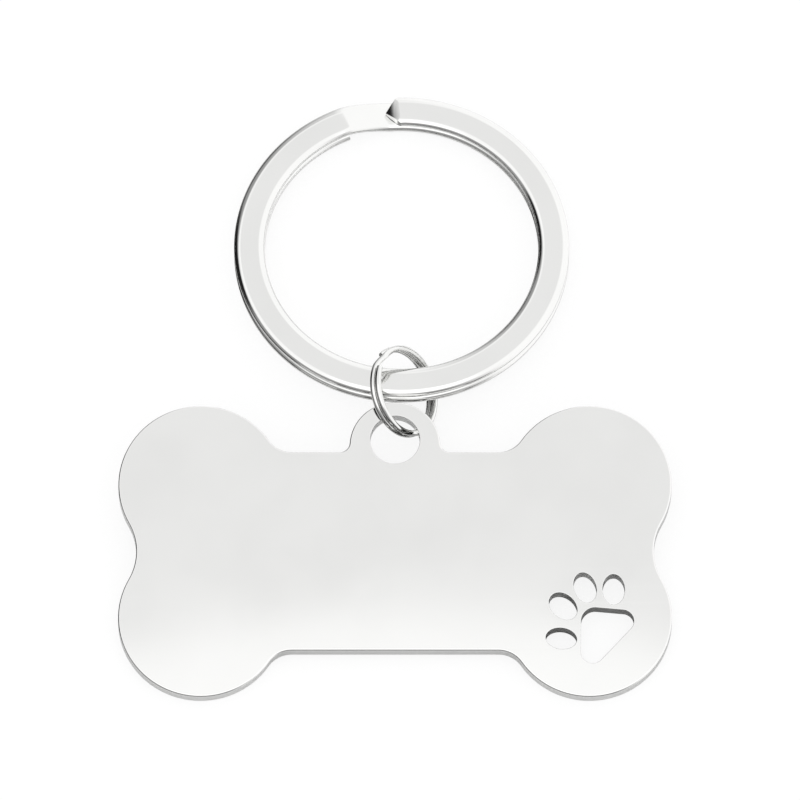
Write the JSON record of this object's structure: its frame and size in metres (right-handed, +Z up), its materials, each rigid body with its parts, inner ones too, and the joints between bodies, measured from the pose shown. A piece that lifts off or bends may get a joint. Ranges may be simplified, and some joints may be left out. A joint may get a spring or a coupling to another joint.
{
  "type": "pet id tag",
  "caption": "Bone-shaped polished steel pet tag with a paw cut-out, hung on a small link ring and a flat-wire split ring for a collar.",
  "frame": {"origin": "on the table, in the middle of the bounding box of the whole thing as it lies", "axes": "+X along the bone, +Y from the bone towards the split ring, +Z up from the table"},
  "size_m": [0.05, 0.059, 0.0069],
  "materials": {
    "plate_steel": "polished stainless sheet with soft edges",
    "link_steel": "bright polished round wire",
    "ring_steel": "bright polished flat wire"
  },
  "bodies": {
    "tag_plate": {"tag_plate": "plate_steel"},
    "link_ring": {"link_ring": "link_steel"},
    "split_ring": {"split_ring": "ring_steel"}
  },
  "joints": [
    {"name": "link_swing", "type": "hinge", "parent": "tag_plate", "child": "link_ring", "pos_m": [0.00035, -0.00427, 0.0036], "axis": [0.6412, -0.1017, -0.7606], "range_deg": [-50, 50]},
    {"name": "split_swing", "type": "hinge", "parent": "link_ring", "child": "split_ring", "pos_m": [0.0006, 0.00049, 0.00277], "axis": [1, 0, 0], "range_deg": [0, 100]}
  ]
}
